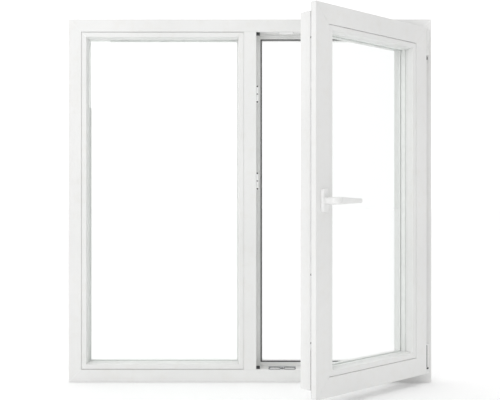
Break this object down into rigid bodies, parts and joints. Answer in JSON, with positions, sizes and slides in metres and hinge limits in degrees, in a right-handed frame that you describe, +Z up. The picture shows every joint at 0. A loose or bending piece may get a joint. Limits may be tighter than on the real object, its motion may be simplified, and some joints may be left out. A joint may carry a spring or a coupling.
{
  "type": "casement window",
  "caption": "White uPVC casement window: a fixed light beside a side-hung tilt-and-turn sash standing open into the room, with lever handle, rebate seals, strikers and double glazing.",
  "frame": {"origin": "middle of the sill's underside, where the frame sits on the wall opening", "axes": "+X to the right seen from the room, -Y into the room, +Z up"},
  "size_m": [1.2, 0.5203, 1.2],
  "materials": {
    "white_vinyl": "satin extruded uPVC",
    "white_hardware": "white powder coat",
    "dark_seal": "matt EPDM",
    "light_seal": "matt light grey EPDM",
    "glazing_spacer": "white warm-edge spacer",
    "galvanised_steel": "zinc-coated channel",
    "bright_steel": "bright zinc-plated hardware",
    "dark_steel": "black-passivated hinge pins",
    "zinc_casting": "silver-coated die casting",
    "clear_glass": "clear float glass"
  },
  "bodies": {
    "frame": {"frame_sill": "white_vinyl", "frame_jamb_right": "white_vinyl", "frame_head": "white_vinyl", "frame_jamb_left": "white_vinyl", "mullion": "white_vinyl", "frame_sill_steel": "galvanised_steel", "frame_jamb_right_steel": "galvanised_steel", "frame_head_steel": "galvanised_steel", "frame_jamb_left_steel": "galvanised_steel", "mullion_steel": "galvanised_steel", "fixed_pane_inner": "clear_glass", "fixed_pane_outer": "clear_glass", "fixed_spacer": "glazing_spacer", "fixed_gasket_inner": "light_seal", "fixed_gasket_outer": "light_seal", "fixed_bead_bottom": "white_vinyl", "fixed_bead_right": "white_vinyl", "fixed_bead_top": "white_vinyl", "fixed_bead_left": "white_vinyl", "frame_gasket": "dark_seal", "mullion_foot_pad": "dark_seal", "mullion_head_pad": "dark_seal", "mullion_striker_upper": "white_hardware", "mullion_striker_middle": "white_hardware", "head_striker": "white_hardware", "corner_bearing": "white_hardware", "stay_bearing": "white_hardware", "tilt_keeper": "zinc_casting", "stay_bearing_pin": "dark_steel"},
    "stay_arm": {"stay_arm": "bright_steel"},
    "hinge_pivot": {"corner_pivot": "dark_steel"},
    "handle": {"handle_lever": "white_hardware", "handle_spindle": "bright_steel"},
    "lock_rod": {"lock_drive_rod": "bright_steel"},
    "top_rod": {"top_drive_rod": "bright_steel"},
    "bottom_rod": {"bottom_drive_rod": "bright_steel"},
    "sash": {"sash_bottom_rail": "white_vinyl", "sash_hinge_stile": "white_vinyl", "sash_top_rail": "white_vinyl", "sash_lock_stile": "white_vinyl", "sash_bottom_rail_steel": "galvanised_steel", "sash_hinge_stile_steel": "galvanised_steel", "sash_top_rail_steel": "galvanised_steel", "sash_lock_stile_steel": "galvanised_steel", "sash_pane_inner": "clear_glass", "sash_pane_outer": "clear_glass", "sash_spacer": "glazing_spacer", "sash_gasket_inner": "light_seal", "sash_gasket_outer": "light_seal", "sash_bead_bottom": "white_vinyl", "sash_bead_right": "white_vinyl", "sash_bead_top": "white_vinyl", "sash_bead_left": "white_vinyl", "sash_overlap_gasket": "dark_seal", "sash_overlap_gasket_hinge_side": "dark_seal", "sash_hinge_band": "white_hardware", "lock_faceplate": "bright_steel", "top_faceplate": "bright_steel", "gearbox": "zinc_casting", "handle_rosette": "white_hardware"}
  },
  "joints": [
    {"name": "sash_turn", "type": "hinge", "parent": "frame", "child": "hinge_pivot", "pos_m": [0.581, -0.05, 0.048], "axis": [0, 0, 1], "range_deg": [-45, 45]},
    {"name": "sash_tilt", "type": "hinge", "parent": "hinge_pivot", "child": "sash", "pos_m": [0.581, -0.05, 0.048], "axis": [0.7071, 0.7071, 0], "range_deg": [0, 6.5]},
    {"name": "stay_arm_swing", "type": "hinge", "parent": "hinge_pivot", "child": "stay_arm", "pos_m": [0.581, -0.05, 1.1], "axis": [0, 0, 1], "range_deg": [0, 18.2]},
    {"name": "handle_turn", "type": "hinge", "parent": "sash", "child": "handle", "pos_m": [0.21154, -0.43502, 0.6], "axis": [-0.7071, 0.7071, 0], "range_deg": [-90, 90]},
    {"name": "lock_rod_slide", "type": "slide", "parent": "sash", "child": "lock_rod", "axis": [0, 0, 1], "range_m": [-0.0181, 0.0181]},
    {"name": "top_rod_slide", "type": "slide", "parent": "sash", "child": "top_rod", "axis": [0.7071, 0.7071, 0], "range_m": [-0.0181, 0.0181]},
    {"name": "bottom_rod_slide", "type": "slide", "parent": "sash", "child": "bottom_rod", "axis": [0.7071, 0.7071, 0], "range_m": [-0.0181, 0.0181]}
  ],
  "couplings": [
    {"joint": "stay_arm_swing", "follows": "sash_tilt", "ratio": 2.77},
    {"joint": "lock_rod_slide", "follows": "handle_turn", "m_per_rad": 0.011459},
    {"joint": "top_rod_slide", "follows": "handle_turn", "m_per_rad": 0.011459},
    {"joint": "bottom_rod_slide", "follows": "handle_turn", "m_per_rad": 0.011459}
  ]
}
